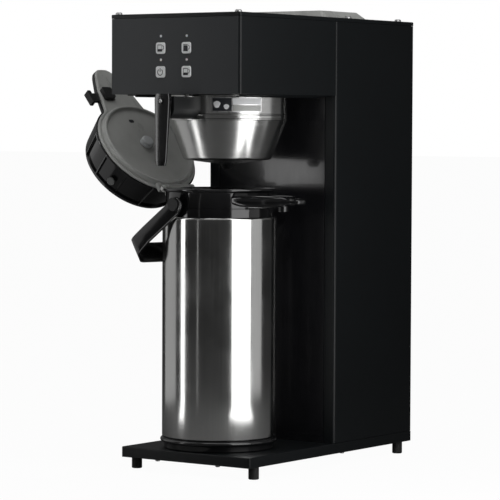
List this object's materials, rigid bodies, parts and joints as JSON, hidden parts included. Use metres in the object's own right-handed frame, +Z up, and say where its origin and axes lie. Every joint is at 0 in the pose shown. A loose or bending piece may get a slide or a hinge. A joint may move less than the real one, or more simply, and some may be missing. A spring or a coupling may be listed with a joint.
{
  "type": "commercial coffee brewer",
  "caption": "Countertop coffee brewer with a rear column, overhanging head, slide-in brew basket and a pump airpot standing below with its lid open.",
  "frame": {"origin": "centre of the whole footprint on the counter, airpot lid and spout included", "axes": "+X to the right and -Y towards the person using it, +Z up"},
  "size_m": [0.3926, 0.4408, 0.599],
  "materials": {
    "black_coating": "fine satin powder coat",
    "charcoal_coating": "satin powder coat",
    "dark_coating": "satin powder coat",
    "gloss_panel": "polished",
    "rubber": "matt",
    "stainless_steel": "brushed",
    "zinc_steel": "satin plated",
    "black_plastic": "fine moulded texture",
    "gloss_black_plastic": "gloss moulded",
    "grey_plastic": "satin moulded",
    "light_grey_plastic": "satin moulded",
    "indicator_lens": "clear moulded",
    "circuit_board": "lacquered",
    "label_sheet": "satin printed foil",
    "silicone": "soft"
  },
  "bodies": {
    "brewer": {"base_tray": "black_coating", "base_plate": "dark_coating", "feet": "rubber", "base_screws": "zinc_steel", "column_side_left": "black_coating", "column_side_right": "black_coating", "column_front_panel": "gloss_panel", "rear_panel": "dark_coating", "inlet_gland": "black_plastic", "rear_screws": "zinc_steel", "head_shell": "charcoal_coating", "indicator_lights": "indicator_lens", "control_board": "circuit_board", "head_floor": "black_coating", "basket_rail_left": "black_coating", "basket_rail_right": "black_coating", "spray_head": "stainless_steel", "top_cover": "black_coating", "top_screws": "zinc_steel", "fill_lid_hinge": "zinc_steel", "fill_funnel": "light_grey_plastic", "water_tank": "stainless_steel", "heating_element": "zinc_steel", "thermostat": "black_plastic", "water_pump": "black_plastic", "pump_hose": "silicone", "spray_hose": "silicone"},
    "fill_lid": {"fill_lid": "grey_plastic"},
    "key_upper_left": {"key_upper_left": "light_grey_plastic"},
    "key_upper_right": {"key_upper_right": "light_grey_plastic"},
    "key_lower_left": {"key_lower_left": "light_grey_plastic"},
    "key_lower_right": {"key_lower_right": "light_grey_plastic"},
    "basket": {"basket_shell": "stainless_steel", "basket_nozzle": "black_plastic", "filter_rack": "stainless_steel", "handle_boss": "black_plastic", "basket_handle": "black_plastic", "handle_screw": "zinc_steel", "basket_label": "label_sheet"},
    "airpot": {"airpot_foot_ring": "black_plastic", "airpot_shell": "stainless_steel", "airpot_liner": "stainless_steel", "mouth_gasket": "rubber", "airpot_collar": "gloss_black_plastic", "dip_tube": "stainless_steel", "airpot_spout": "gloss_black_plastic", "hinge_bracket": "grey_plastic", "lid_hinge_pin": "stainless_steel", "bail_pivots": "black_plastic"},
    "bail": {"bail_handle": "black_plastic"},
    "airpot_lid": {"lid_plate": "grey_plastic", "sealing_ring": "rubber", "valve_knob": "light_grey_plastic", "lid_cover": "black_plastic", "pump_bellows": "silicone", "lid_rivets": "grey_plastic"},
    "pump_button": {"pump_button": "gloss_black_plastic"},
    "lid_latch": {"lid_latch": "black_plastic"}
  },
  "joints": [
    {"name": "fill_lid_hinge", "type": "hinge", "parent": "brewer", "child": "fill_lid", "pos_m": [0.04561, 0.15002, 0.5924], "axis": [-1, 0, 0], "range_deg": [0, 100]},
    {"name": "key_upper_left_press", "type": "slide", "parent": "brewer", "child": "key_upper_left", "axis": [0, 1, 0], "range_m": [0, 0.0012], "stiffness_N_per_m": 400},
    {"name": "key_upper_right_press", "type": "slide", "parent": "brewer", "child": "key_upper_right", "axis": [0, 1, 0], "range_m": [0, 0.0012], "stiffness_N_per_m": 400},
    {"name": "key_lower_left_press", "type": "slide", "parent": "brewer", "child": "key_lower_left", "axis": [0, 1, 0], "range_m": [0, 0.0012], "stiffness_N_per_m": 400},
    {"name": "key_lower_right_press", "type": "slide", "parent": "brewer", "child": "key_lower_right", "axis": [0, 1, 0], "range_m": [0, 0.0012], "stiffness_N_per_m": 400},
    {"name": "basket_slide", "type": "slide", "parent": "brewer", "child": "basket", "axis": [0, -1, 0], "range_m": [0, 0.17]},
    {"name": "airpot_lift_out", "type": "slide", "parent": "brewer", "child": "airpot", "axis": [0, -1, 0], "range_m": [0, 0.26]},
    {"name": "airpot_lid_hinge", "type": "hinge", "parent": "airpot", "child": "airpot_lid", "pos_m": [-0.03391, -0.07712, 0.364], "axis": [0.1908, 0.9816, 0], "range_deg": [0, 24]},
    {"name": "bail_hinge", "type": "hinge", "parent": "airpot", "child": "bail", "pos_m": [0.04561, -0.09258, 0.346], "axis": [0.1908, 0.9816, 0], "range_deg": [0, 14]},
    {"name": "pump_button_press", "type": "slide", "parent": "airpot_lid", "child": "pump_button", "axis": [0.7295, -0.1418, 0.6691], "range_m": [0, 0.012], "stiffness_N_per_m": 400},
    {"name": "lid_latch_press", "type": "slide", "parent": "airpot_lid", "child": "lid_latch", "axis": [0.1908, 0.9816, 0], "range_m": [0, 0.003], "stiffness_N_per_m": 400}
  ]
}
